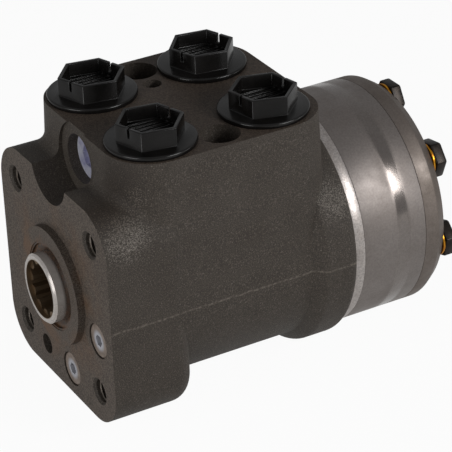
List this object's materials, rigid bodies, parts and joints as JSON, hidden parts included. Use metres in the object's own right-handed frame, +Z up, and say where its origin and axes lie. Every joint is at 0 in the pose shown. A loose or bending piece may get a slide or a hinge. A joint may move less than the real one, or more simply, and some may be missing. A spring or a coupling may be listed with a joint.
{
  "type": "orbital steering unit",
  "caption": "Hydraulic orbital steering unit: cast valve housing with capped ports, splined spool nose, gerotor gear set and bolted end cover.",
  "frame": {"origin": "centre of the column flange's mounting face, on the shaft axis", "axes": "+X along the shaft axis from the column flange to the end cover, +Z up to the port face, +Y across"},
  "size_m": [0.1507, 0.091, 0.1116],
  "materials": {
    "casting": "as-cast grey iron, fine sand texture, oiled; machined faces ground",
    "rim_steel": "ground, light oil",
    "plate_steel": "turned bright",
    "cover_steel": "turned, light oxide haze",
    "gear_steel": "ground",
    "spool_steel": "hardened, polished",
    "shaft_steel": "hardened, turned",
    "bearing_steel": "hardened, lapped",
    "spring_steel": "oil tempered",
    "black_steel": "black phosphate",
    "yellow_zinc": "yellow zinc",
    "plug_aluminium": "machined, matt",
    "plug_white": "pale sealing cap over a steel plug",
    "cap_plastic": "moulded polyethylene, satin",
    "seal_rubber": "moulded nitrile",
    "seal_plastic": "filled slip ring"
  },
  "bodies": {
    "housing": {"housing": "casting", "dust_seal": "seal_rubber", "shaft_seal_ring": "seal_plastic", "shaft_seal_o_ring": "seal_rubber", "bearing_race_front": "bearing_steel", "distribution_plate": "plate_steel", "gear_rim": "rim_steel", "end_cover": "cover_steel", "cover_screws": "black_steel", "special_screw": "black_steel", "screw_washers": "yellow_zinc", "plate_o_ring": "seal_rubber", "rim_o_ring": "seal_rubber", "cover_o_ring": "seal_rubber", "relief_plug": "plug_white", "relief_seal": "yellow_zinc", "relief_setting_screw": "shaft_steel", "relief_spring": "spring_steel", "shock_valve_plugs": "plug_aluminium", "shock_valve_spring_inner": "spring_steel", "shock_valve_spring_outer": "spring_steel", "check_valve_bushing": "shaft_steel"},
    "orbit": {"spacer": "gear_steel"},
    "rotor": {"rotor": "gear_steel"},
    "drive_shaft": {"drive_shaft": "shaft_steel"},
    "sleeve": {"sleeve": "spool_steel", "cross_pin": "bearing_steel", "centring_springs": "spring_steel", "spring_ring": "spring_steel", "bearing_race_rear": "bearing_steel"},
    "spool": {"spool": "spool_steel"},
    "thrust_bearing": {"bearing_cage": "bearing_steel", "bearing_needles": "bearing_steel"},
    "relief_poppet": {"relief_poppet": "bearing_steel"},
    "shock_ball_inner": {"shock_valve_ball_inner": "bearing_steel"},
    "shock_ball_outer": {"shock_valve_ball_outer": "bearing_steel"},
    "check_ball": {"check_valve_ball": "bearing_steel"},
    "port_cap_t": {"port_cap_t": "cap_plastic"},
    "port_cap_p": {"port_cap_p": "cap_plastic"},
    "port_cap_l": {"port_cap_l": "cap_plastic"},
    "port_cap_r": {"port_cap_r": "cap_plastic"}
  },
  "joints": [
    {"name": "rotor_orbit", "type": "hinge", "parent": "housing", "child": "orbit", "pos_m": [0.1143, 0, 0], "axis": [1, 0, 0], "continuous": true},
    {"name": "rotor_spin", "type": "hinge", "parent": "orbit", "child": "rotor", "pos_m": [0.1143, 0, 0.0038], "axis": [1, 0, 0], "continuous": true},
    {"name": "drive_shaft_spin", "type": "hinge", "parent": "orbit", "child": "drive_shaft", "pos_m": [0.046, 0, 0], "axis": [0.9985, 0, 0.0556], "continuous": true},
    {"name": "sleeve_turn", "type": "hinge", "parent": "housing", "child": "sleeve", "pos_m": [0.046, 0, 0], "axis": [1, 0, 0], "continuous": true},
    {"name": "spool_turn", "type": "hinge", "parent": "sleeve", "child": "spool", "pos_m": [0, 0, 0], "axis": [1, 0, 0], "range_deg": [-8, 8], "stiffness_Nm_per_rad": 4, "deforming": ["centring_springs"]},
    {"name": "bearing_cage_turn", "type": "hinge", "parent": "housing", "child": "thrust_bearing", "pos_m": [0.0141, 0, 0], "axis": [1, 0, 0], "continuous": true},
    {"name": "relief_poppet_lift", "type": "slide", "parent": "housing", "child": "relief_poppet", "axis": [-1, 0, 0], "range_m": [0, 0.002], "stiffness_N_per_m": 2500, "deforming": ["relief_spring"]},
    {"name": "shock_ball_inner_lift", "type": "slide", "parent": "housing", "child": "shock_ball_inner", "axis": [-1, 0, 0], "range_m": [0, 0.0015], "stiffness_N_per_m": 800, "deforming": ["shock_valve_spring_inner"]},
    {"name": "shock_ball_outer_lift", "type": "slide", "parent": "housing", "child": "shock_ball_outer", "axis": [-1, 0, 0], "range_m": [0, 0.0015], "stiffness_N_per_m": 800, "deforming": ["shock_valve_spring_outer"]},
    {"name": "check_ball_lift", "type": "slide", "parent": "housing", "child": "check_ball", "axis": [0, 0, 1], "range_m": [0, 0.0022]},
    {"name": "port_cap_t_lift", "type": "slide", "parent": "housing", "child": "port_cap_t", "axis": [0, 0, 1], "range_m": [0, 0.014]},
    {"name": "port_cap_p_lift", "type": "slide", "parent": "housing", "child": "port_cap_p", "axis": [0, 0, 1], "range_m": [0, 0.014]},
    {"name": "port_cap_l_lift", "type": "slide", "parent": "housing", "child": "port_cap_l", "axis": [0, 0, 1], "range_m": [0, 0.014]},
    {"name": "port_cap_r_lift", "type": "slide", "parent": "housing", "child": "port_cap_r", "axis": [0, 0, 1], "range_m": [0, 0.014]}
  ],
  "couplings": [
    {"joint": "rotor_spin", "follows": "rotor_orbit", "ratio": -1.1667},
    {"joint": "drive_shaft_spin", "follows": "rotor_orbit", "ratio": -1.1667},
    {"joint": "sleeve_turn", "follows": "rotor_orbit", "ratio": -0.16667},
    {"joint": "bearing_cage_turn", "follows": "rotor_orbit", "ratio": -0.083333}
  ]
}
